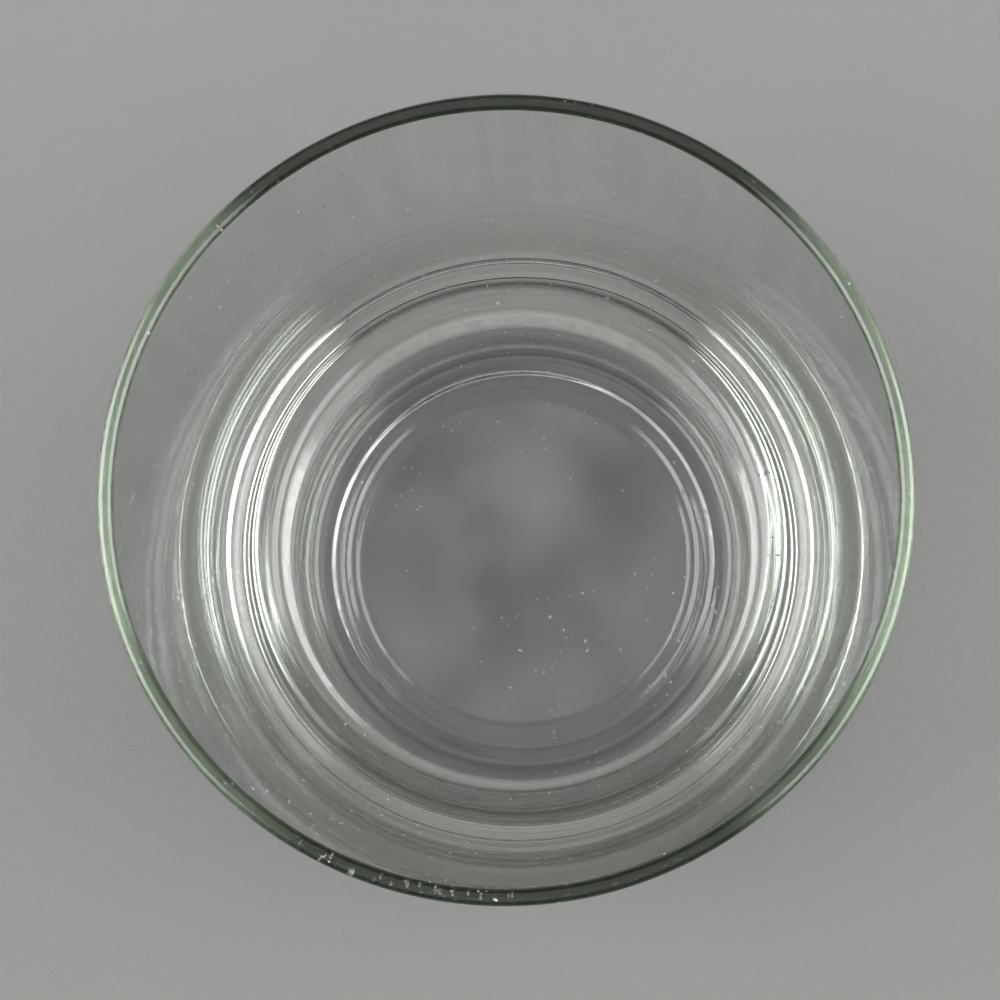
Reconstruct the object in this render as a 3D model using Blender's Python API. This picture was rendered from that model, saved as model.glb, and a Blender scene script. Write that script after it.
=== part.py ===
"""Hurricane candle holder: a flared glass shade that stands on a glass candle cup.

Metres, +Z up. Both pieces are turned about the Z axis, and the cup's foot stands on z = 0.
Sizes run in two chains: radii from the candle outwards, heights from the table upwards.
"""
import math

import bmesh
import bpy
from mathutils import Matrix, Vector

# Candle and well
CANDLE_RADIUS = 0.0381        # a three inch pillar
CANDLE_CLEARANCE = 0.0016
WELL_DRAFT = 0.0039           # the well's mouth is this much wider than its floor, on the radius
WELL_DEPTH = 0.0221
WELL_FILLET = 0.0033

# Candle cup
CUP_WALL = 0.0060             # at the mouth
CUP_RIM_ROUND = 0.0028
COLLAR_HEIGHT = 0.0063        # the cup's rim above the seat of the shade
COLLAR_FILLET = 0.0008
SEAT_WIDTH = 0.0077
FLANGE_THICKNESS = 0.0065
FLANGE_TAPER = 0.0010         # the flange's underside is this much smaller, on the radius
FLANGE_ROUND = 0.0009
UNDERCUT_RISE = 0.0009        # the flange is this much thicker where it meets the body
UNDERCUT_FILLET = 0.0014
BODY_WALL = 0.0041            # glass between the well's floor edge and the foot's outside
BODY_DRAFT = 0.0031
FLOOR_THICKNESS = 0.0042
FOOT_RING = 0.0057            # width of the ring that stands on the table
FOOT_ROUND = 0.0016
FOOT_RECESS = 0.0010          # the underside is hollowed by this much inside the ring
RECESS_SLOPE = 0.0020

# Shade
SHADE_WALL = 0.0027
CORNER_REACH = 0.0031         # from the open bottom edge out to the shoulder, inside the wall
SHOULDER_RISE = 0.0068        # from the open bottom edge up to the shoulder
FLARE = 0.0088                # the rim is this much wider than the shoulder, on the radius
WALL_RISE = 0.0693            # from the shoulder up to the rim

# Fits
SEAT_GAP = 0.0003
CUP_CLEARANCE = 0.0008

# Facets
TURN_STEPS = 64
ARC_STEP = math.radians(18.0)
SHARP_ANGLE = math.radians(40.0)
MERGE_DISTANCE = 0.000001

# Radii worked out from the chain
WELL_FLOOR_RADIUS = CANDLE_RADIUS + CANDLE_CLEARANCE
WELL_MOUTH_RADIUS = WELL_FLOOR_RADIUS + WELL_DRAFT
COLLAR_RADIUS = WELL_MOUTH_RADIUS + CUP_WALL
FLANGE_RADIUS = COLLAR_RADIUS + SEAT_WIDTH
FOOT_RADIUS = WELL_FLOOR_RADIUS + BODY_WALL
OPENING_RADIUS = COLLAR_RADIUS + CUP_CLEARANCE
SHOULDER_RADIUS = OPENING_RADIUS + CORNER_REACH
RIM_RADIUS = SHOULDER_RADIUS + FLARE + SHADE_WALL

# Heights worked out from the chain
FLOOR_HEIGHT = FOOT_RECESS + FLOOR_THICKNESS
CUP_HEIGHT = FLOOR_HEIGHT + WELL_DEPTH
SEAT_HEIGHT = CUP_HEIGHT - COLLAR_HEIGHT
FLANGE_BOTTOM = SEAT_HEIGHT - FLANGE_THICKNESS
SHADE_HEIGHT = SHOULDER_RISE + WALL_RISE


def clear_scene():
    """Removes whatever the open file holds."""
    for thing in list(bpy.data.objects):
        bpy.data.objects.remove(thing, do_unlink=True)


def glass(name, colour, roughness):
    """Clear glass with a faint tint."""
    material = bpy.data.materials.new(name)
    material.use_nodes = True
    shader = material.node_tree.nodes["Principled BSDF"]
    shader.inputs["Base Color"].default_value = (*colour, 1.0)
    shader.inputs["Roughness"].default_value = roughness
    shader.inputs["Metallic"].default_value = 0.0
    shader.inputs["IOR"].default_value = 1.52
    shader.inputs["Transmission Weight"].default_value = 1.0
    return material


def arc(centre, start, sweep):
    """Points from start, turned about centre by sweep, with both ends."""
    steps = max(2, math.ceil(abs(sweep) / ARC_STEP))
    spoke = start - centre
    return [centre + Matrix.Rotation(sweep * step / steps, 2) @ spoke for step in range(steps + 1)]


def rounded(corners):
    """Outline through corners of (radius, height, fillet), each rounded by its own fillet."""
    places = [Vector(corner[:2]) for corner in corners]
    outline = [places[0]]
    for before, place, after, corner in zip(places, places[1:], places[2:], corners[1:]):
        fillet = corner[2]
        if fillet == 0.0:
            outline.append(place)
            continue
        back = (before - place).normalized()
        ahead = (after - place).normalized()
        half_angle = back.angle(ahead) / 2
        longest = 0.48 * min((before - place).length, (after - place).length)
        reach = min(fillet / math.tan(half_angle), longest)
        radius = reach * math.tan(half_angle)
        centre = place + (back + ahead).normalized() * radius / math.sin(half_angle)
        start = place + back * reach
        end = place + ahead * reach
        sweep = (end - centre).angle_signed(start - centre)
        outline += arc(centre, start, sweep)
    return outline + [places[-1]]


def cup_outline():
    """From the middle of the well, up and over the rim, down the outside and under the foot."""
    return rounded([
        (0.0, FLOOR_HEIGHT, 0.0),
        (WELL_FLOOR_RADIUS, FLOOR_HEIGHT, WELL_FILLET),
        (WELL_MOUTH_RADIUS, CUP_HEIGHT, CUP_RIM_ROUND),
        (COLLAR_RADIUS, CUP_HEIGHT, CUP_RIM_ROUND),
        (COLLAR_RADIUS, SEAT_HEIGHT, COLLAR_FILLET),
        (FLANGE_RADIUS, SEAT_HEIGHT, FLANGE_ROUND),
        (FLANGE_RADIUS - FLANGE_TAPER, FLANGE_BOTTOM, FLANGE_ROUND),
        (FOOT_RADIUS + BODY_DRAFT, FLANGE_BOTTOM - UNDERCUT_RISE, UNDERCUT_FILLET),
        (FOOT_RADIUS, 0.0, FOOT_ROUND),
        (FOOT_RADIUS - FOOT_RING, 0.0, 0.0),
        (FOOT_RADIUS - FOOT_RING - RECESS_SLOPE, FOOT_RECESS, 0.0),
        (0.0, FOOT_RECESS, 0.0),
    ])


def shade_outline():
    """One even wall: straight from rim to shoulder, then one arc in to the open bottom edge.

    Heights are measured from that bottom edge. Both ends of the wall are fully round.
    """
    half = SHADE_WALL / 2
    rim = Vector((RIM_RADIUS - half, SHADE_HEIGHT - half))
    shoulder = Vector((SHOULDER_RADIUS + half, SHOULDER_RISE))
    edge = Vector((OPENING_RADIUS + half, half))
    down = (shoulder - rim).normalized()
    inward = Vector((down.y, -down.x))
    chord = edge - shoulder
    sweep = 2 * math.atan2(chord.dot(inward), chord.dot(down))
    centre = shoulder + inward * chord.dot(down) / math.sin(sweep)
    inside = arc(centre, shoulder + inward * half, -sweep)
    under = arc(edge, inside[-1], math.pi)
    outside = arc(centre, under[-1], sweep)
    top = arc(rim, rim - inward * half, math.pi)
    return inside + under[1:-1] + outside + top


def turned(name, outline, closed, height, material):
    """Spins an outline of (radius, height) about Z into one solid standing at the given height."""
    shape = bmesh.new()
    points = [shape.verts.new((place.x, 0.0, place.y)) for place in outline]
    edges = [shape.edges.new(pair) for pair in zip(points, points[1:])]
    if closed:
        edges.append(shape.edges.new((points[-1], points[0])))
    bmesh.ops.spin(shape, geom=points + edges, cent=(0, 0, 0), axis=(0, 0, 1), angle=2 * math.pi,
                   steps=TURN_STEPS, use_merge=True)
    bmesh.ops.remove_doubles(shape, verts=shape.verts, dist=MERGE_DISTANCE)
    bmesh.ops.recalc_face_normals(shape, faces=shape.faces)
    mesh = bpy.data.meshes.new(name)
    shape.to_mesh(mesh)
    shape.free()
    mesh.shade_smooth()
    mesh.set_sharp_from_angle(angle=SHARP_ANGLE)
    mesh.materials.append(material)
    piece = bpy.data.objects.new(name, mesh)
    piece.location.z = height
    bpy.context.scene.collection.objects.link(piece)
    return piece


def build():
    """The cup stands on the table, and the shade stands on the cup's flange."""
    clear_scene()
    cup = turned("candle_cup", cup_outline(), False, 0.0, glass("cup_glass", (0.90, 0.95, 0.92), 0.02))
    shade = turned("shade", shade_outline(), True, SEAT_HEIGHT + SEAT_GAP,
                   glass("shade_glass", (0.92, 0.96, 0.93), 0.01))
    holder = bpy.data.objects.new("hurricane_candle_holder", None)
    bpy.context.scene.collection.objects.link(holder)
    cup.parent = holder
    shade.parent = holder


build()
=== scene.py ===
"""Hurricane candle holder: the finish of its two turned glass pieces, and the plain studio around them.

Metres, +Z up, in the frame of the packed part. Run as a script, it makes each piece with its operator.
"""

import math

import bpy
from bpy.props import FloatProperty, FloatVectorProperty, IntProperty, PointerProperty
from mathutils import Matrix, Vector


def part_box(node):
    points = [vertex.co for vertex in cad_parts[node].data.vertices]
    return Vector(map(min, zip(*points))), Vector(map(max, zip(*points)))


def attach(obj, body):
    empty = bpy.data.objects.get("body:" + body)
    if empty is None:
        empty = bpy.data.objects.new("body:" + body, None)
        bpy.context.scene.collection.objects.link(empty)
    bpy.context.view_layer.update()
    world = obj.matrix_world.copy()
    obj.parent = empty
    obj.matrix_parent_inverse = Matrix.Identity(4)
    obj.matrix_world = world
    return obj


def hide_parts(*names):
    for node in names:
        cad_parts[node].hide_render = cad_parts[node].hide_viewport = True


bl_info = {
    "name": "Hurricane candle holder",
    "version": (1, 0, 0),
    "blender": (4, 5, 0),
    "location": "3D View > Sidebar > Candle holder",
    "description": "Makes a glass hurricane shade and the candle cup it stands on, in a plain studio",
    "category": "Add Mesh",
}

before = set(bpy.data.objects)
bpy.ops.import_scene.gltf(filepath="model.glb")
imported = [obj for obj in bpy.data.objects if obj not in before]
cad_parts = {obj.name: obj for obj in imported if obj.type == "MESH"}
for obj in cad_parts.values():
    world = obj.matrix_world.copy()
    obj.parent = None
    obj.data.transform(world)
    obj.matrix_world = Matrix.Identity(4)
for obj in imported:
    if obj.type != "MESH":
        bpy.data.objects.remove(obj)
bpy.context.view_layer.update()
_, CUP_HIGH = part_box("candle_cup")
SHADE_LOW, SHADE_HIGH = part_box("shade")

# How the outlines are stepped
ARC_STEP = math.radians(7.5)
SUPPORT = 0.00012             # a row of points this close to both ends of a straight run keeps it straight
RUN_STEP = 0.0030
LEAST_RUN = 4 * SUPPORT + RUN_STEP / 4    # shorter runs are left whole
FILLET_SHARE = 0.48           # the most of a side that one fillet takes up
MERGE_DISTANCE = 0.000002
SEED_STEP = 1.7               # how far one seed's ripple lies from the next

# Fine patterns on glass, in waves for each metre
CUP_RINGS = 420.0
CUP_WIPES = 95.0
SHADE_RINGS = 260.0
SHADE_WIPES = 60.0
RING_BREAKS = 30.0
WIPE_BREAKS = 28.0
HANDLED_SCALE = 38.0
FILM_EDGES = (0.42, 0.66)     # the pattern's values where film starts and where it is full
HANDLED_EDGES = (0.52, 0.72)

# Bubbles and dust
BUBBLE_MARGIN = 1.1           # a bubble keeps its own radius, times this, inside the wall
PATCH_EDGES = (0.45, 0.75)    # the noise's values where dust is thinnest and where it is thickest
PATCH_SHARES = (0.25, 4.0)
FLECK_STRETCH = (0.6, 2.2)
FLECK_FLATNESS = 0.4
DUST_SHADES = (0.7, 1.15)
DUST_SCALE = 900.0
DUST_EDGES = (0.35, 0.65)
DUST_ROUGHNESS = 0.95

# Table, lamps and the photograph's frame
TABLE_HALF = 3.0
TABLE_DROP = 0.0002           # keeps the table clear of the foot
TABLE_SHADES = (0.975, 1.025)
MOTTLE_SCALE = 9.0
MOTTLE_EDGES = (0.3, 0.7)
TABLE_ROUGHNESS = 0.7
GRAIN_SCALE = 1900.0
CEILING_NOISE = (0.3, 0.7)    # the noise's values where the ceiling is dullest and where it is brightest
LAMP_AIM = Vector((0.0, 0.0, 0.03))
NEAR_CLIP = 0.01
IMAGE_WIDTH = 1000.0
SENSOR_WIDTH = 36.0


def length(name, description, default):
    """A size in metres for a property group."""
    return FloatProperty(name=name, description=description, default=default, min=0.0, precision=5, unit="LENGTH")


def angle(name, description, degrees):
    """An angle for a property group."""
    return FloatProperty(name=name, description=description, default=math.radians(degrees), subtype="ANGLE")


def share(name, description, default):
    """A number from 0 to 1 for a property group."""
    return FloatProperty(name=name, description=description, default=default, min=0.0, max=1.0)


def colour(name, description, default):
    """A colour for a property group."""
    return FloatVectorProperty(name=name, description=description, default=default, subtype="COLOR", size=3, min=0.0,
                               max=1.0)


class CupSizes(bpy.types.PropertyGroup):
    """Sizes of the candle cup, from the candle outwards."""
    well_floor_radius: length("Well floor radius", "Radius of the flat floor that the candle stands on", 0.0397)
    well_mouth_radius: length("Well mouth radius", "Inside radius at the rim", 0.0436)
    groove_radii: FloatVectorProperty(name="Groove radii", description="Radii of the two shallow grooves in the floor",
                                      size=2, precision=5, unit="LENGTH", default=(0.0320, 0.0349))
    groove_width: length("Groove width", "Width of each groove", 0.0026)
    groove_depth: length("Groove depth", "Depth of each groove", 0.00065)
    floor_height: length("Floor height", "Top of the floor above the table", 0.0052)
    well_fillet: length("Well fillet", "Rounding between the floor and the wall of the well", 0.0033)
    collar_radius: length("Collar radius", "Outside radius of the rim that stands inside the shade", 0.0496)
    rim_round: length("Rim rounding", "Rounding of the rim's two edges", 0.0028)
    collar_height: length("Collar height", "Rim above the seat of the shade", 0.0063)
    collar_fillet: length("Collar fillet", "Rounding between the collar and the seat", 0.0008)
    flange_radius: length("Flange radius", "Outside radius of the flange", CUP_HIGH.x)
    flange_thickness: length("Flange thickness", "Thickness of the flange at its edge", 0.0065)
    flange_taper: length("Flange taper", "How much smaller the underside of the flange is", 0.0010)
    flange_round: length("Flange rounding", "Rounding of the flange's edge", 0.0009)
    undercut_rise: length("Undercut rise", "Extra thickness where the flange meets the body", 0.0009)
    undercut_fillet: length("Undercut fillet", "Rounding under the flange", 0.0014)
    foot_radius: length("Foot radius", "Outside radius of the body at the table", 0.0438)
    body_draft: length("Body draft", "How much wider the body is under the flange", 0.0031)
    foot_round: length("Foot rounding", "Rounding of the foot's outside edge", 0.0016)
    foot_ring: length("Foot ring", "Width of the ring that stands on the table", 0.0057)
    recess: length("Recess", "Hollow of the underside inside the ring", 0.0010)
    recess_slope: length("Recess slope", "Width of the slope up into the hollow", 0.0020)
    recess_fillet: length("Recess fillet", "Rounding at both ends of that slope", 0.0008)
    height: length("Height", "Rim above the table", CUP_HIGH.z)


class ShadeSizes(bpy.types.PropertyGroup):
    """Sizes of the shade."""
    rim_radius: length("Rim radius", "Outside radius at the top", SHADE_HIGH.x)
    top: length("Top", "Rim above the table", SHADE_HIGH.z)
    bottom: length("Bottom", "Open bottom edge above the table", SHADE_LOW.z)
    wall: length("Wall", "Thickness of the glass", 0.0027)
    shoulder_radius: length("Shoulder radius", "Inside radius where the wall starts to curve in", 0.0535)
    shoulder_rise: length("Shoulder rise", "Height of that place above the bottom edge", 0.0068)
    opening_radius: length("Opening radius", "Radius of the open bottom", 0.0504)


class GlassFinish(bpy.types.PropertyGroup):
    """How the glass is made and how it looks."""
    turns: IntProperty(name="Facets", description="Facets round the axis", default=256, min=64, max=400)
    ripple: length("Ripple", "How far the turned surfaces wander", 0.00006)
    ripple_size: length("Ripple size", "Distance from one wander to the next", 0.025)
    seed: IntProperty(name="Seed", description="Fixes the ripple, the bubbles and the dust", default=7)
    refraction: FloatProperty(name="Refraction", description="Index of refraction", default=1.52, min=1.0, max=2.0)
    cup_tint: colour("Cup tint", "Colour of deep glass in the cup", (0.775, 0.85, 0.75))
    cup_depth: FloatProperty(name="Cup tint strength", description="How strongly depth of glass tints in the cup",
                             default=20.0, min=0.0)
    shade_tint: colour("Shade tint", "Colour of deep glass in the shade", (0.69, 0.74, 0.67))
    shade_depth: FloatProperty(name="Shade tint strength", default=50.0, min=0.0,
                               description="How strongly depth of glass tints in the shade")
    line_depth: length("Drawn lines", "Depth of the fine rings that turning leaves", 0.000004)
    smear: share("Smears", "Roughness where the glass was handled", 0.03)
    film: share("Film", "Share of light that wiped on film holds back", 0.03)


class SmallMarks(bpy.types.PropertyGroup):
    """Bubbles in the glass and dust on it."""
    bubbles: IntProperty(name="Bubbles", description="Air bubbles under the front of the rim", default=26, min=0)
    bubble_start: angle("Bubble start", "Where the row of bubbles starts", -123.0)
    bubble_sweep: angle("Bubble sweep", "How far round the rim the bubbles go", 36.0)
    bubble_drop: length("Bubble drop", "Middle of the row below the rim", 0.0012)
    bubble_spread: length("Bubble spread", "How far the bubbles stray from the middle of the wall", 0.0006)
    bubble_least: length("Smallest bubble", "Radius of the smallest bubble", 0.00018)
    bubble_most: length("Largest bubble", "Radius of the largest bubble", 0.00045)
    dust_count: FloatProperty(name="Dust", description="Flecks for each square metre of glass", default=11000.0,
                              min=0.0)
    dust_patch: length("Dust patches", "Distance from one dusty patch to the next", 0.030)
    dust_least: length("Smallest fleck", "Radius of the smallest fleck", 0.00007)
    dust_most: length("Largest fleck", "Radius of the largest fleck", 0.00024)
    dust_colour: colour("Dust colour", "Colour of the flecks", (0.82, 0.81, 0.79))


class StudioLook(bpy.types.PropertyGroup):
    """The table, the room, the soft boxes and the camera."""
    floor_colour: colour("Floor", "Colour of the table", (0.355, 0.357, 0.345))
    grain: length("Grain", "Depth of the fine grain of the table", 0.00012)
    wall_colour: colour("Walls", "Colour of the dim walls round the table", (0.03, 0.03, 0.032))
    ceiling_colour: colour("Ceiling", "Colour of the pale ceiling", (0.92, 0.92, 0.92))
    ceiling_patches: share("Ceiling patches", "How unevenly the ceiling is lit", 0.55)
    ceiling_patch: angle("Ceiling patch", "Width of one patch, seen from the holder", 1.8)
    ceiling_edge: FloatVectorProperty(name="Ceiling edge", description="Sine of the heights where the walls end and "
                                      "where the ceiling is at its brightest", size=2, default=(0.35, 0.75))
    glass_turns: IntProperty(name="Glass turns", description="Light that turns in the glass more often than this "
                             "doesn't see the walls and the ceiling", default=8, min=0)
    box_level: FloatProperty(name="Box level", description="How bright the glass sees the soft boxes at the sides",
                             default=4.0, min=0.0)
    box_bottom: angle("Box bottom", "Height of their lower edge, seen from the holder", 6.0)
    box_top: angle("Box top", "Height of their upper edge", 58.0)
    box_left: angle("Left box", "Direction of the left box", 183.0)
    box_right: angle("Right box", "Direction of the right box", -8.0)
    box_half: angle("Box half width", "Half the width of each box", 36.0)
    box_edge: angle("Box edge", "How soft the edges of the boxes are", 6.0)
    lamp_power: FloatProperty(name="Lamps", description="Power of each soft box", default=6.0, min=0.0, unit="POWER")
    lamp_reach: length("Lamp reach", "How far to the side the soft boxes stand", 1.00)
    lamp_height: length("Lamp height", "How high the soft boxes stand", 0.60)
    lamp_size: length("Lamp size", "Side of each soft box", 0.90)
    focal: FloatProperty(name="Focal length", description="In pixels of the photograph", default=3000.0, min=100.0)
    plumb: FloatVectorProperty(name="Plumb pixel", description="Where the photograph looks straight down", size=2,
                               default=(620.1, 911.9))
    rim_centre: FloatVectorProperty(name="Rim centre pixel", description="Middle of the rim in the photograph",
                                    size=2, default=(504.0, 491.8))
    rim_pixels: FloatProperty(name="Rim pixels", description="Radius of the rim in the photograph", default=410.9)
    bounces: IntProperty(name="Bounces", description="How often light may turn on its way through the glass",
                         default=32, min=1)


def place(tree, kind, **settings):
    """Adds a node to a tree and sets its own settings."""
    made = tree.nodes.new(kind)
    for name, value in settings.items():
        setattr(made, name, value)
    return made


def join(tree, source, target):
    """Links a source to a target. A source is a socket, or a plain value for the target's own socket."""
    if isinstance(source, bpy.types.NodeSocket):
        tree.links.new(source, target)
    else:
        target.default_value = source


def maths(tree, operation, *values):
    """A number worked out from sockets or plain numbers."""
    made = place(tree, "ShaderNodeMath", operation=operation)
    for socket, value in zip(made.inputs, values):
        join(tree, value, socket)
    return made.outputs["Value"]


def whole(tree, operation, *values):
    """A whole number worked out from sockets or plain numbers."""
    made = place(tree, "FunctionNodeIntegerMath", operation=operation)
    for socket, value in zip(made.inputs, values):
        join(tree, value, socket)
    return made.outputs["Value"]


def vector_maths(tree, operation, *values, output="Vector"):
    """A vector worked out from sockets or plain vectors."""
    made = place(tree, "ShaderNodeVectorMath", operation=operation)
    for socket, value in zip(made.inputs, values):
        join(tree, value, socket)
    return made.outputs[output]


def named_sockets(tree, way, sockets):
    """Gives a tree its named sockets, as (name, kind) pairs."""
    for name, kind in sockets:
        tree.interface.new_socket(name=name, in_out=way, socket_type=kind)


def chance(tree, low, high, seed, turn):
    """A random number for each point, from low to high. The turn tells one draw from another."""
    made = place(tree, "FunctionNodeRandomValue", data_type="FLOAT")
    sockets = {socket.identifier: socket for socket in made.inputs}
    join(tree, low, sockets["Min_001"])
    join(tree, high, sockets["Max_001"])
    join(tree, whole(tree, "ADD", seed, turn), sockets["Seed"])
    return [socket for socket in made.outputs if socket.identifier == "Value_001"][0]


def finished(tree, geometry, material, name):
    """Ends a tree: real faces in one material."""
    real = place(tree, "GeometryNodeRealizeInstances")
    join(tree, geometry, real.inputs["Geometry"])
    paint = place(tree, "GeometryNodeSetMaterial")
    join(tree, real.outputs["Geometry"], paint.inputs["Geometry"])
    join(tree, material, paint.inputs["Material"])
    result = place(tree, "NodeGroupOutput")
    join(tree, paint.outputs["Geometry"], result.inputs[name])


def spanned(tree, value, limits, **settings):
    """A number that runs from 0 to 1 while the value runs between two limits."""
    made = place(tree, "ShaderNodeMapRange", **settings)
    join(tree, value, made.inputs["Value"])
    join(tree, limits[0], made.inputs["From Min"])
    join(tree, limits[1], made.inputs["From Max"])
    return made


def two_tone(tree, value, limits, colours):
    """A colour that runs from the first of two colours to the second while the value runs between two limits."""
    ramp = place(tree, "ShaderNodeValToRGB")
    for element, limit, tone in zip(ramp.color_ramp.elements, limits, colours):
        element.position = limit
        element.color = (*tone, 1.0)
    join(tree, value, ramp.inputs["Fac"])
    return ramp.outputs["Color"]


def arc(centre, start, sweep):
    """Points from start, turned about centre by sweep, with both ends."""
    steps = max(3, math.ceil(abs(sweep) / ARC_STEP))
    spoke = start - centre
    return [centre + Matrix.Rotation(sweep * step / steps, 2) @ spoke for step in range(steps + 1)]


def rounded(corners):
    """Outline through corners of (radius, height, fillet), each rounded by its own fillet."""
    places = [Vector(corner[:2]) for corner in corners]
    outline = [places[0]]
    for before, here, after, corner in zip(places, places[1:], places[2:], corners[1:]):
        back = (before - here).normalized()
        ahead = (after - here).normalized()
        half_angle = back.angle(ahead) / 2
        longest = FILLET_SHARE * min((before - here).length, (after - here).length)
        reach = min(corner[2] / math.tan(half_angle), longest)
        radius = reach * math.tan(half_angle)
        centre = here + (back + ahead).normalized() * radius / math.sin(half_angle)
        start = here + back * reach
        end = here + ahead * reach
        sweep = (end - centre).angle_signed(start - centre)
        outline += arc(centre, start, sweep)
    return outline + [places[-1]]


def supported(outline):
    """Splits the long straight runs of an outline, with a point close to both ends of each."""
    points = [outline[0]]
    for start, end in zip(outline, outline[1:]):
        run = (end - start).length
        if run > LEAST_RUN:
            count = max(1, round(run / RUN_STEP))
            shares = [SUPPORT / run] + [step / count for step in range(1, count)] + [1 - SUPPORT / run]
            points += [start.lerp(end, part) for part in shares]
        points.append(end)
    return points


def cup_outline(cup):
    """From the middle of the well, up and over the rim, down the outside and under the foot."""
    seat = cup.height - cup.collar_height
    under_flange = seat - cup.flange_thickness
    ring_inside = cup.foot_radius - cup.foot_ring
    half = cup.groove_width / 2
    grooves = []
    for radius in cup.groove_radii:
        grooves += [
            (radius - half, cup.floor_height, half),
            (radius, cup.floor_height - cup.groove_depth, half),
            (radius + half, cup.floor_height, half),
        ]
    return rounded([
        (0.0, cup.floor_height, 0.0),
        *grooves,
        (cup.well_floor_radius, cup.floor_height, cup.well_fillet),
        (cup.well_mouth_radius, cup.height, cup.rim_round),
        (cup.collar_radius, cup.height, cup.rim_round),
        (cup.collar_radius, seat, cup.collar_fillet),
        (cup.flange_radius, seat, cup.flange_round),
        (cup.flange_radius - cup.flange_taper, under_flange, cup.flange_round),
        (cup.foot_radius + cup.body_draft, under_flange - cup.undercut_rise, cup.undercut_fillet),
        (cup.foot_radius, 0.0, cup.foot_round),
        (ring_inside, 0.0, cup.recess_fillet),
        (ring_inside - cup.recess_slope, cup.recess, cup.recess_fillet),
        (0.0, cup.recess, 0.0),
    ])


def shade_outline(shade):
    """One even wall: straight from rim to shoulder, then one arc in to the open bottom edge.

    It runs as the cup's outline does, up the inside and down the outside.
    """
    half = shade.wall / 2
    rim = Vector((shade.rim_radius - half, shade.top - half))
    shoulder = Vector((shade.shoulder_radius + half, shade.bottom + shade.shoulder_rise))
    edge = Vector((shade.opening_radius + half, shade.bottom + half))
    down = (shoulder - rim).normalized()
    inward = Vector((down.y, -down.x))
    chord = edge - shoulder
    sweep = 2 * math.atan2(chord.dot(inward), chord.dot(down))
    centre = shoulder + inward * chord.dot(down) / math.sin(sweep)
    inside = arc(centre, shoulder + inward * half, -sweep)
    under = arc(edge, inside[-1], math.pi)
    outside = arc(centre, under[-1], sweep)
    top = arc(rim, rim - inward * half, math.pi)
    loop = inside + under[1:-1] + outside + top + [inside[0]]
    return loop[::-1]


def turned_tree():
    """Geometry nodes that turn an outline of (radius, 0, height) about Z."""
    tree = bpy.data.node_groups.new("turned_glass", "GeometryNodeTree")
    named_sockets(tree, "INPUT", [
        ("Outline", "NodeSocketGeometry"),
        ("Facets", "NodeSocketInt"),
        ("Ripple", "NodeSocketFloat"),
        ("Ripple Size", "NodeSocketFloat"),
        ("Seed", "NodeSocketInt"),
        ("Finish", "NodeSocketMaterial"),
    ])
    named_sockets(tree, "OUTPUT", [("Glass", "NodeSocketGeometry")])
    given = place(tree, "NodeGroupInput").outputs
    rows = place(tree, "GeometryNodeAttributeDomainSize", component="MESH")
    join(tree, given["Outline"], rows.inputs["Geometry"])
    row_count = rows.outputs["Point Count"]
    index = place(tree, "GeometryNodeInputIndex").outputs["Index"]
    row = whole(tree, "MODULO", index, row_count)
    column = whole(tree, "DIVIDE_FLOOR", index, row_count)
    turn = maths(tree, "MULTIPLY", maths(tree, "DIVIDE", column, given["Facets"]), -2 * math.pi)

    grid = place(tree, "GeometryNodeMeshGrid")
    join(tree, whole(tree, "ADD", given["Facets"], 1), grid.inputs["Vertices X"])
    join(tree, row_count, grid.inputs["Vertices Y"])

    here = place(tree, "GeometryNodeInputPosition").outputs["Position"]
    sample = place(tree, "GeometryNodeSampleIndex", data_type="FLOAT_VECTOR", domain="POINT")
    join(tree, given["Outline"], sample.inputs["Geometry"])
    join(tree, here, sample.inputs["Value"])
    join(tree, row, sample.inputs["Index"])
    spin = place(tree, "ShaderNodeVectorRotate", rotation_type="Z_AXIS")
    join(tree, sample.outputs["Value"], spin.inputs["Vector"])
    join(tree, turn, spin.inputs["Angle"])
    round_place = spin.outputs["Vector"]

    noise = place(tree, "ShaderNodeTexNoise", noise_dimensions="4D")
    join(tree, here, noise.inputs["Vector"])
    join(tree, maths(tree, "MULTIPLY", given["Seed"], SEED_STEP), noise.inputs["W"])
    join(tree, maths(tree, "DIVIDE", 1.0, given["Ripple Size"]), noise.inputs["Scale"])
    join(tree, 0.0, noise.inputs["Detail"])
    wander = maths(tree, "MULTIPLY", maths(tree, "SUBTRACT", noise.outputs["Fac"], 0.5), given["Ripple"])
    push = place(tree, "ShaderNodeVectorMath", operation="SCALE")
    join(tree, place(tree, "GeometryNodeInputNormal").outputs["Normal"], push.inputs["Vector"])
    join(tree, wander, push.inputs["Scale"])

    move = place(tree, "GeometryNodeSetPosition")
    join(tree, grid.outputs["Mesh"], move.inputs["Geometry"])
    join(tree, round_place, move.inputs["Position"])
    merge = place(tree, "GeometryNodeMergeByDistance")
    join(tree, move.outputs["Geometry"], merge.inputs["Geometry"])
    join(tree, MERGE_DISTANCE, merge.inputs["Distance"])
    uneven = place(tree, "GeometryNodeSetPosition")
    join(tree, merge.outputs["Geometry"], uneven.inputs["Geometry"])
    join(tree, push.outputs["Vector"], uneven.inputs["Offset"])
    smooth = place(tree, "GeometryNodeSetShadeSmooth")
    join(tree, uneven.outputs["Geometry"], smooth.inputs["Geometry"])
    finished(tree, smooth.outputs["Geometry"], given["Finish"], "Glass")
    return tree


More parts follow.
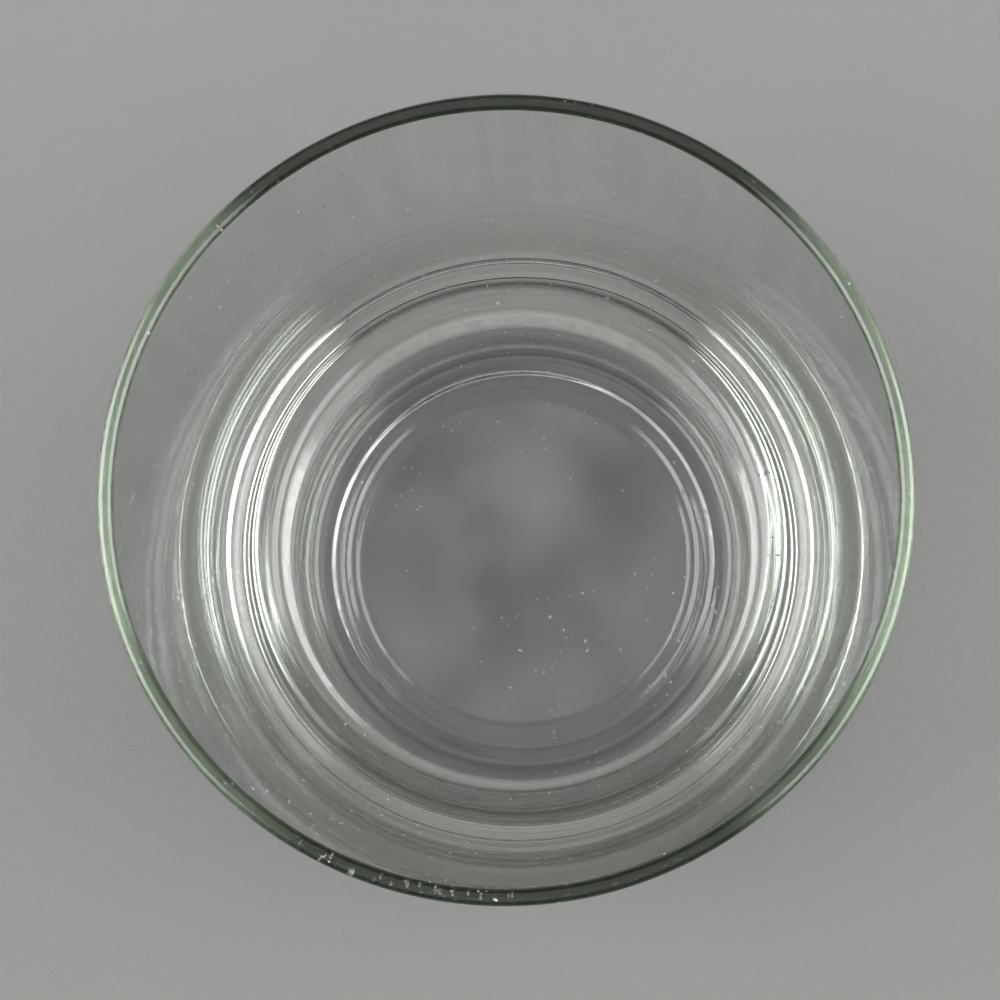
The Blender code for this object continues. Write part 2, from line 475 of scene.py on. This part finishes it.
def bubble_tree():
    """Geometry nodes that leave small round voids in a glass wall, along part of a ring."""
    tree = bpy.data.node_groups.new("air_bubbles", "GeometryNodeTree")
    named_sockets(tree, "INPUT", [
        ("Glass", "NodeSocketGeometry"),
        ("Count", "NodeSocketInt"),
        ("Start", "NodeSocketFloat"),
        ("Sweep", "NodeSocketFloat"),
        ("Ring Radius", "NodeSocketFloat"),
        ("Height", "NodeSocketFloat"),
        ("Spread", "NodeSocketFloat"),
        ("Smallest", "NodeSocketFloat"),
        ("Largest", "NodeSocketFloat"),
        ("Seed", "NodeSocketInt"),
        ("Finish", "NodeSocketMaterial"),
    ])
    named_sockets(tree, "OUTPUT", [("Glass", "NodeSocketGeometry")])
    given = place(tree, "NodeGroupInput").outputs
    seed = given["Seed"]
    stray = maths(tree, "MULTIPLY", given["Spread"], -1.0)
    spot = place(tree, "ShaderNodeCombineXYZ")
    for turn, (middle, axis) in enumerate((("Ring Radius", "X"), ("Height", "Z")), start=1):
        drift = chance(tree, stray, given["Spread"], seed, turn)
        join(tree, maths(tree, "ADD", given[middle], drift), spot.inputs[axis])
    spin = place(tree, "ShaderNodeVectorRotate", rotation_type="Z_AXIS")
    join(tree, spot.outputs["Vector"], spin.inputs["Vector"])
    along = maths(tree, "MULTIPLY", given["Sweep"], chance(tree, 0.0, 1.0, seed, 3))
    join(tree, maths(tree, "ADD", given["Start"], along), spin.inputs["Angle"])
    points = place(tree, "GeometryNodePoints")
    join(tree, given["Count"], points.inputs["Count"])
    join(tree, spin.outputs["Vector"], points.inputs["Position"])
    ball = place(tree, "GeometryNodeMeshIcoSphere")
    join(tree, 1.0, ball.inputs["Radius"])
    join(tree, 3, ball.inputs["Subdivisions"])
    smooth = place(tree, "GeometryNodeSetShadeSmooth")
    join(tree, ball.outputs["Mesh"], smooth.inputs["Geometry"])
    inward = place(tree, "GeometryNodeFlipFaces")
    join(tree, smooth.outputs["Geometry"], inward.inputs["Mesh"])
    voids = place(tree, "GeometryNodeInstanceOnPoints")
    join(tree, points.outputs["Points"], voids.inputs["Points"])
    join(tree, inward.outputs["Mesh"], voids.inputs["Instance"])
    join(tree, chance(tree, given["Smallest"], given["Largest"], seed, 4), voids.inputs["Scale"])
    both = place(tree, "GeometryNodeJoinGeometry")
    join(tree, given["Glass"], both.inputs["Geometry"])
    join(tree, voids.outputs["Instances"], both.inputs["Geometry"])
    finished(tree, both.outputs["Geometry"], given["Finish"], "Glass")
    return tree


def dust_tree():
    """Geometry nodes that scatter flat flecks over a surface, thicker in patches."""
    tree = bpy.data.node_groups.new("settled_dust", "GeometryNodeTree")
    named_sockets(tree, "INPUT", [
        ("Surface", "NodeSocketGeometry"),
        ("Count", "NodeSocketFloat"),
        ("Patch", "NodeSocketFloat"),
        ("Smallest", "NodeSocketFloat"),
        ("Largest", "NodeSocketFloat"),
        ("Seed", "NodeSocketInt"),
        ("Finish", "NodeSocketMaterial"),
    ])
    named_sockets(tree, "OUTPUT", [("Dust", "NodeSocketGeometry")])
    given = place(tree, "NodeGroupInput").outputs
    seed = given["Seed"]
    noise = place(tree, "ShaderNodeTexNoise")
    join(tree, maths(tree, "DIVIDE", 1.0, given["Patch"]), noise.inputs["Scale"])
    patchy = spanned(tree, noise.outputs["Fac"], PATCH_EDGES)
    join(tree, PATCH_SHARES[0], patchy.inputs["To Min"])
    join(tree, PATCH_SHARES[1], patchy.inputs["To Max"])
    scatter = place(tree, "GeometryNodeDistributePointsOnFaces", distribute_method="RANDOM")
    join(tree, given["Surface"], scatter.inputs["Mesh"])
    join(tree, maths(tree, "MULTIPLY", given["Count"], patchy.outputs["Result"]), scatter.inputs["Density"])
    join(tree, seed, scatter.inputs["Seed"])
    fleck = place(tree, "GeometryNodeMeshIcoSphere")
    join(tree, 1.0, fleck.inputs["Radius"])
    join(tree, 1, fleck.inputs["Subdivisions"])
    size = chance(tree, given["Smallest"], given["Largest"], seed, 1)
    scale = place(tree, "ShaderNodeCombineXYZ")
    join(tree, maths(tree, "MULTIPLY", size, chance(tree, *FLECK_STRETCH, seed, 2)), scale.inputs["X"])
    join(tree, size, scale.inputs["Y"])
    join(tree, maths(tree, "MULTIPLY", size, FLECK_FLATNESS), scale.inputs["Z"])
    spin = place(tree, "FunctionNodeRotateRotation", rotation_space="LOCAL")
    join(tree, scatter.outputs["Rotation"], spin.inputs["Rotation"])
    turn = place(tree, "FunctionNodeAxisAngleToRotation")
    join(tree, (0.0, 0.0, 1.0), turn.inputs["Axis"])
    join(tree, chance(tree, 0.0, 2 * math.pi, seed, 3), turn.inputs["Angle"])
    join(tree, turn.outputs["Rotation"], spin.inputs["Rotate By"])
    flecks = place(tree, "GeometryNodeInstanceOnPoints")
    join(tree, scatter.outputs["Points"], flecks.inputs["Points"])
    join(tree, fleck.outputs["Mesh"], flecks.inputs["Instance"])
    join(tree, spin.outputs["Rotation"], flecks.inputs["Rotation"])
    join(tree, scale.outputs["Vector"], flecks.inputs["Scale"])
    finished(tree, flecks.outputs["Instances"], given["Finish"], "Dust")
    return tree


def grown(name, mesh, tree, values):
    """Runs a tree on a mesh with named input values, and gives the result as a plain object."""
    source = bpy.data.objects.new(name + "_source", mesh)
    bpy.context.scene.collection.objects.link(source)
    modifier = source.modifiers.new("grow", "NODES")
    modifier.node_group = tree
    sockets = {item.name: item.identifier for item in tree.interface.items_tree if item.in_out == "INPUT"}
    for label, value in values.items():
        modifier[sockets[label]] = value
    ready = source.evaluated_get(bpy.context.evaluated_depsgraph_get())
    result = bpy.data.meshes.new_from_object(ready)
    bpy.data.objects.remove(source, do_unlink=True)
    if not result.polygons:
        raise RuntimeError(name + " came out empty")
    result.name = name
    piece = bpy.data.objects.new(name, result)
    bpy.context.scene.collection.objects.link(piece)
    return piece


def turned(name, outline, finish, material):
    """One turned glass piece."""
    points = supported(outline)
    mesh = bpy.data.meshes.new(name + "_outline")
    edges = [(start, start + 1) for start in range(len(points) - 1)]
    mesh.from_pydata([(point.x, 0.0, point.y) for point in points], edges, [])
    tree = bpy.data.node_groups.get("turned_glass") or turned_tree()
    return grown(name, mesh, tree, {
        "Facets": finish.turns,
        "Ripple": finish.ripple,
        "Ripple Size": finish.ripple_size,
        "Seed": finish.seed,
        "Finish": material,
    })


def turned_pattern_group():
    """Shader group: uneven rings that follow the turning, on walls and floors alike."""
    tree = bpy.data.node_groups.new("turned_pattern", "ShaderNodeTree")
    named_sockets(tree, "INPUT", [
        ("Vector", "NodeSocketVector"),
        ("Rings", "NodeSocketFloat"),
        ("Breaks", "NodeSocketFloat"),
    ])
    named_sockets(tree, "OUTPUT", [("Pattern", "NodeSocketFloat")])
    given = place(tree, "NodeGroupInput").outputs
    axes = place(tree, "ShaderNodeSeparateXYZ")
    join(tree, given["Vector"], axes.inputs["Vector"])
    flat = vector_maths(tree, "MULTIPLY", given["Vector"], (1.0, 1.0, 0.0))
    radius = vector_maths(tree, "LENGTH", flat, output="Value")
    spot = place(tree, "ShaderNodeCombineXYZ")
    join(tree, maths(tree, "MULTIPLY", axes.outputs["X"], given["Breaks"]), spot.inputs["X"])
    join(tree, maths(tree, "MULTIPLY", axes.outputs["Y"], given["Breaks"]), spot.inputs["Y"])
    across = maths(tree, "ADD", radius, axes.outputs["Z"])
    join(tree, maths(tree, "MULTIPLY", across, given["Rings"]), spot.inputs["Z"])
    noise = place(tree, "ShaderNodeTexNoise")
    join(tree, spot.outputs["Vector"], noise.inputs["Vector"])
    join(tree, 1.0, noise.inputs["Scale"])
    join(tree, 2.0, noise.inputs["Detail"])
    result = place(tree, "NodeGroupOutput")
    join(tree, noise.outputs["Fac"], result.inputs["Pattern"])
    return tree


def handled_patches_group():
    """Shader group: soft patches where fingers and a cloth have been."""
    tree = bpy.data.node_groups.new("handled_patches", "ShaderNodeTree")
    named_sockets(tree, "INPUT", [("Vector", "NodeSocketVector"), ("Scale", "NodeSocketFloat")])
    named_sockets(tree, "OUTPUT", [("Mask", "NodeSocketFloat")])
    given = place(tree, "NodeGroupInput").outputs
    noise = place(tree, "ShaderNodeTexNoise")
    join(tree, given["Vector"], noise.inputs["Vector"])
    join(tree, given["Scale"], noise.inputs["Scale"])
    join(tree, 4.0, noise.inputs["Detail"])
    mask = spanned(tree, noise.outputs["Fac"], HANDLED_EDGES, interpolation_type="SMOOTHSTEP")
    result = place(tree, "NodeGroupOutput")
    join(tree, mask.outputs["Result"], result.inputs["Mask"])
    return tree


def group_node(tree, make, **values):
    """Places a shared shader group, made once, with its own input values."""
    made = place(tree, "ShaderNodeGroup")
    made.node_tree = bpy.data.node_groups.get(make.__name__.removesuffix("_group")) or make()
    for name, value in values.items():
        join(tree, value, made.inputs[name])
    return made.outputs[0]


def glass_material(name, finish, tint, depth, rings, wipes):
    """Clear glass, tinted by its depth, with fine turned rings, wiped film and handled patches."""
    material = bpy.data.materials.new(name)
    material.use_nodes = True
    tree = material.node_tree
    shader = tree.nodes["Principled BSDF"]
    shader.inputs["IOR"].default_value = finish.refraction
    shader.inputs["Transmission Weight"].default_value = 1.0
    spot = place(tree, "ShaderNodeTexCoord").outputs["Object"]

    wiped = group_node(tree, turned_pattern_group, Vector=spot, Rings=wipes, Breaks=WIPE_BREAKS)
    clear = Vector((1.0, 1.0, 1.0))
    film = two_tone(tree, wiped, FILM_EDGES, (clear, clear * (1.0 - finish.film)))
    join(tree, film, shader.inputs["Base Color"])

    patches = group_node(tree, handled_patches_group, Vector=spot, Scale=HANDLED_SCALE)
    join(tree, maths(tree, "MULTIPLY", patches, finish.smear), shader.inputs["Roughness"])

    bump = place(tree, "ShaderNodeBump")
    bump.inputs["Distance"].default_value = finish.line_depth
    lines = group_node(tree, turned_pattern_group, Vector=spot, Rings=rings, Breaks=RING_BREAKS)
    join(tree, lines, bump.inputs["Height"])
    join(tree, bump.outputs["Normal"], shader.inputs["Normal"])

    deep = place(tree, "ShaderNodeVolumeAbsorption")
    deep.inputs["Color"].default_value = (*tint, 1.0)
    deep.inputs["Density"].default_value = depth
    join(tree, deep.outputs["Volume"], tree.nodes["Material Output"].inputs["Volume"])
    return material


def dust_material(marks):
    """Pale grey lint, a little different from fleck to fleck."""
    material = bpy.data.materials.new("settled_dust")
    material.use_nodes = True
    tree = material.node_tree
    shader = tree.nodes["Principled BSDF"]
    noise = place(tree, "ShaderNodeTexNoise")
    join(tree, place(tree, "ShaderNodeTexCoord").outputs["Object"], noise.inputs["Vector"])
    join(tree, DUST_SCALE, noise.inputs["Scale"])
    tones = [Vector(marks.dust_colour) * part for part in DUST_SHADES]
    join(tree, two_tone(tree, noise.outputs["Fac"], DUST_EDGES, tones), shader.inputs["Base Color"])
    shader.inputs["Roughness"].default_value = DUST_ROUGHNESS
    return material


def table_material(look):
    """Grey table top with a faint mottle and a fine grain."""
    material = bpy.data.materials.new("table_top")
    material.use_nodes = True
    tree = material.node_tree
    shader = tree.nodes["Principled BSDF"]
    spot = place(tree, "ShaderNodeTexCoord").outputs["Object"]
    noise = place(tree, "ShaderNodeTexNoise")
    join(tree, spot, noise.inputs["Vector"])
    join(tree, MOTTLE_SCALE, noise.inputs["Scale"])
    join(tree, 8.0, noise.inputs["Detail"])
    tones = [Vector(look.floor_colour) * part for part in TABLE_SHADES]
    join(tree, two_tone(tree, noise.outputs["Fac"], MOTTLE_EDGES, tones), shader.inputs["Base Color"])
    grain = place(tree, "ShaderNodeTexNoise")
    join(tree, spot, grain.inputs["Vector"])
    join(tree, GRAIN_SCALE, grain.inputs["Scale"])
    bump = place(tree, "ShaderNodeBump")
    bump.inputs["Distance"].default_value = look.grain
    join(tree, grain.outputs["Fac"], bump.inputs["Height"])
    join(tree, bump.outputs["Normal"], shader.inputs["Normal"])
    shader.inputs["Roughness"].default_value = TABLE_ROUGHNESS
    shader.inputs["Specular IOR Level"].default_value = 0.0
    return material


def step(tree, value, low, high):
    """Rises smoothly from 0 at low to 1 at high."""
    return spanned(tree, value, (low, high), interpolation_type="SMOOTHSTEP").outputs["Result"]


def box_mask(tree, axes, look):
    """1 towards the two soft boxes and 0 elsewhere."""
    x, y, z = axes.outputs
    edge = look.box_edge
    rise = step(tree, z, math.sin(look.box_bottom - edge / 2), math.sin(look.box_bottom + edge / 2))
    fall = step(tree, z, math.sin(look.box_top - edge / 2), math.sin(look.box_top + edge / 2))
    level = maths(tree, "SQRT", maths(tree, "SUBTRACT", 1.0, maths(tree, "MULTIPLY", z, z)))
    sides = 0.0
    for turn in (look.box_left, look.box_right):
        along_x = maths(tree, "MULTIPLY", x, math.cos(turn))
        along_y = maths(tree, "MULTIPLY", y, math.sin(turn))
        towards = maths(tree, "DIVIDE", maths(tree, "ADD", along_x, along_y), level)
        side = step(tree, towards, math.cos(look.box_half + edge), math.cos(look.box_half - edge))
        sides = maths(tree, "ADD", side, sides)
    return maths(tree, "MULTIPLY", sides, maths(tree, "SUBTRACT", rise, fall))


def room_world(look):
    """Dim walls that rise to a pale ceiling. Glass also sees two bright soft boxes, which leave the table as it is.

    Light piped far inside the glass sees the soft boxes alone, so that the rims stay dark between them.
    """
    room = bpy.data.worlds.new("room")
    room.use_nodes = True
    tree = room.node_tree
    background = tree.nodes["Background"]
    direction = place(tree, "ShaderNodeTexCoord").outputs["Generated"]
    axes = place(tree, "ShaderNodeSeparateXYZ")
    join(tree, direction, axes.inputs["Vector"])
    walls = two_tone(tree, axes.outputs["Z"], look.ceiling_edge, (look.wall_colour, look.ceiling_colour))

    path = place(tree, "ShaderNodeLightPath").outputs
    by_glass = maths(tree, "MAXIMUM", path["Is Glossy Ray"], path["Is Transmission Ray"])
    before_table = maths(tree, "LESS_THAN", path["Diffuse Depth"], 0.5)
    shown = maths(tree, "MULTIPLY", by_glass, before_table)
    deep = maths(tree, "GREATER_THAN", path["Ray Depth"], look.glass_turns + 0.5)
    piped = maths(tree, "MULTIPLY", before_table, deep)
    glow = maths(tree, "MULTIPLY", maths(tree, "MULTIPLY", shown, look.box_level), box_mask(tree, axes, look))

    uneven = place(tree, "ShaderNodeTexNoise")
    join(tree, direction, uneven.inputs["Vector"])
    join(tree, 1.0 / look.ceiling_patch, uneven.inputs["Scale"])
    join(tree, 2.0, uneven.inputs["Detail"])
    patchy = spanned(tree, uneven.outputs["Fac"], CEILING_NOISE)
    join(tree, 1.0 - look.ceiling_patches, patchy.inputs["To Min"])
    join(tree, 1.0 + look.ceiling_patches, patchy.inputs["To Max"])
    room_light = place(tree, "ShaderNodeVectorMath", operation="SCALE")
    join(tree, walls, room_light.inputs["Vector"])
    join(tree, maths(tree, "MULTIPLY", patchy.outputs["Result"], maths(tree, "SUBTRACT", 1.0, piped)),
         room_light.inputs["Scale"])
    total = vector_maths(tree, "ADD", room_light.outputs["Vector"], glow)
    join(tree, total, background.inputs["Color"])
    return room


class MakeCup(bpy.types.Operator):
    """Makes the candle cup: well, rim, flange and foot in one turned piece"""
    bl_idname = "candle_holder.make_cup"
    bl_label = "Candle cup"

    def execute(self, context):
        scene = context.scene
        finish = scene.holder_finish
        material = glass_material("pressed_glass", finish, finish.cup_tint, finish.cup_depth, CUP_RINGS, CUP_WIPES)
        cup = turned("candle_cup_glass", cup_outline(scene.holder_cup), finish, material)
        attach(cup, "cup")
        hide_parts("candle_cup")
        return {"FINISHED"}


class MakeShade(bpy.types.Operator):
    """Makes the flared shade that stands on the cup, with a row of bubbles under its rim"""
    bl_idname = "candle_holder.make_shade"
    bl_label = "Shade"

    def execute(self, context):
        scene = context.scene
        sizes = scene.holder_shade
        marks = scene.holder_marks
        finish = scene.holder_finish
        material = glass_material("blown_glass", finish, finish.shade_tint, finish.shade_depth, SHADE_RINGS,
                                  SHADE_WIPES)
        plain = turned("plain_shade", shade_outline(sizes), finish, material)
        mesh = plain.data
        bpy.data.objects.remove(plain)
        flare = sizes.rim_radius - sizes.wall - sizes.shoulder_radius
        lean = flare / (sizes.top - sizes.bottom - sizes.shoulder_rise)
        shade = grown("shade_glass", mesh, bubble_tree(), {
            "Count": marks.bubbles,
            "Start": marks.bubble_start,
            "Sweep": marks.bubble_sweep,
            "Ring Radius": sizes.rim_radius - sizes.wall / 2 - lean * marks.bubble_drop,
            "Height": sizes.top - marks.bubble_drop,
            "Spread": min(marks.bubble_spread, sizes.wall / 2 - BUBBLE_MARGIN * marks.bubble_most),
            "Smallest": marks.bubble_least,
            "Largest": marks.bubble_most,
            "Seed": finish.seed,
            "Finish": material,
        })
        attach(shade, "shade")
        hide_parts("shade")
        return {"FINISHED"}


class SettleDust(bpy.types.Operator):
    """Scatters dust over both pieces"""
    bl_idname = "candle_holder.settle_dust"
    bl_label = "Dust"

    def execute(self, context):
        scene = context.scene
        marks = scene.holder_marks
        material = dust_material(marks)
        tree = dust_tree()
        for body, glass_name in (("cup", "candle_cup_glass"), ("shade", "shade_glass")):
            dust = grown(body + "_dust", bpy.data.objects[glass_name].data.copy(), tree, {
                "Count": marks.dust_count,
                "Patch": marks.dust_patch,
                "Smallest": marks.dust_least,
                "Largest": marks.dust_most,
                "Seed": scene.holder_finish.seed,
                "Finish": material,
            })
            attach(dust, body)
        return {"FINISHED"}


class SetStage(bpy.types.Operator):
    """Sets the table, the two soft boxes, the dim room and the camera"""
    bl_idname = "candle_holder.set_stage"
    bl_label = "Stage"

    def execute(self, context):
        scene = context.scene
        look = scene.holder_studio
        mesh = bpy.data.meshes.new("table")
        corners = [(x * TABLE_HALF, y * TABLE_HALF, 0.0) for x, y in ((-1, -1), (1, -1), (1, 1), (-1, 1))]
        mesh.from_pydata(corners, [], [(0, 1, 2, 3)])
        mesh.materials.append(table_material(look))
        floor = bpy.data.objects.new("table", mesh)
        floor.location.z = -TABLE_DROP
        scene.collection.objects.link(floor)
        for side_name, way in (("left", -1.0), ("right", 1.0)):
            lamp = bpy.data.lights.new("soft_box_" + side_name, "AREA")
            lamp.shape = "SQUARE"
            lamp.size = look.lamp_size
            lamp.energy = look.lamp_power
            stand = bpy.data.objects.new(lamp.name, lamp)
            stand.location = (way * look.lamp_reach, 0.0, look.lamp_height)
            aim = LAMP_AIM - stand.location
            stand.rotation_euler = aim.to_track_quat("-Z", "Y").to_euler()
            scene.collection.objects.link(stand)
        scene.world = room_world(look)
        scene.cycles.max_bounces = look.bounces
        scene.cycles.glossy_bounces = look.bounces
        scene.cycles.transmission_bounces = look.bounces
        scene.view_settings.view_transform = "Standard"
        scene.camera = self.camera(scene, look)
        return {"FINISHED"}

    def camera(self, scene, look):
        """A camera that sees the rim and the plumb point at their pixels in the photograph."""
        middle = IMAGE_WIDTH / 2
        plumb = Vector((look.plumb[0] - middle, middle - look.plumb[1], -look.focal)).normalized()
        up = -plumb
        across = (Vector((1.0, 0.0, 0.0)) - up * up.x).normalized()
        turn = Matrix((across, up.cross(across), up))
        distance = look.focal * scene.holder_shade.rim_radius / look.rim_pixels
        rim = Vector((look.rim_centre[0] - middle, middle - look.rim_centre[1], -look.focal)) * distance / look.focal
        lens = bpy.data.cameras.new("camera")
        lens.sensor_width = SENSOR_WIDTH
        lens.lens = look.focal / IMAGE_WIDTH * SENSOR_WIDTH
        lens.clip_start = NEAR_CLIP
        stand = bpy.data.objects.new("camera", lens)
        top = Vector((0.0, 0.0, scene.holder_shade.top))
        stand.matrix_world = Matrix.Translation(top - turn @ rim) @ turn.to_4x4()
        scene.collection.objects.link(stand)
        return stand


class HolderPanel(bpy.types.Panel):
    """Lists the sizes, the finish and the studio, with a button for each operator"""
    bl_idname = "VIEW3D_PT_candle_holder"
    bl_label = "Candle holder"
    bl_space_type = "VIEW_3D"
    bl_region_type = "UI"
    bl_category = "Candle holder"

    def draw(self, context):
        for label, group in SETTINGS.items():
            box = self.layout.box()
            box.label(text=group.__doc__)
            for name in group.__annotations__:
                box.prop(getattr(context.scene, label), name)
        for operator in OPERATORS:
            self.layout.operator(operator.bl_idname)


SETTINGS = {
    "holder_cup": CupSizes,
    "holder_shade": ShadeSizes,
    "holder_finish": GlassFinish,
    "holder_marks": SmallMarks,
    "holder_studio": StudioLook,
}
OPERATORS = (MakeCup, MakeShade, SettleDust, SetStage)
CLASSES = (*SETTINGS.values(), *OPERATORS, HolderPanel)


def register():
    for item in CLASSES:
        bpy.utils.register_class(item)
    for label, group in SETTINGS.items():
        setattr(bpy.types.Scene, label, PointerProperty(type=group))


def unregister():
    for label in SETTINGS:
        delattr(bpy.types.Scene, label)
    for item in reversed(CLASSES):
        bpy.utils.unregister_class(item)


def main():
    register()
    bpy.ops.candle_holder.make_cup()
    bpy.ops.candle_holder.make_shade()
    bpy.ops.candle_holder.settle_dust()
    bpy.ops.candle_holder.set_stage()


if __name__ == "__main__":
    main()
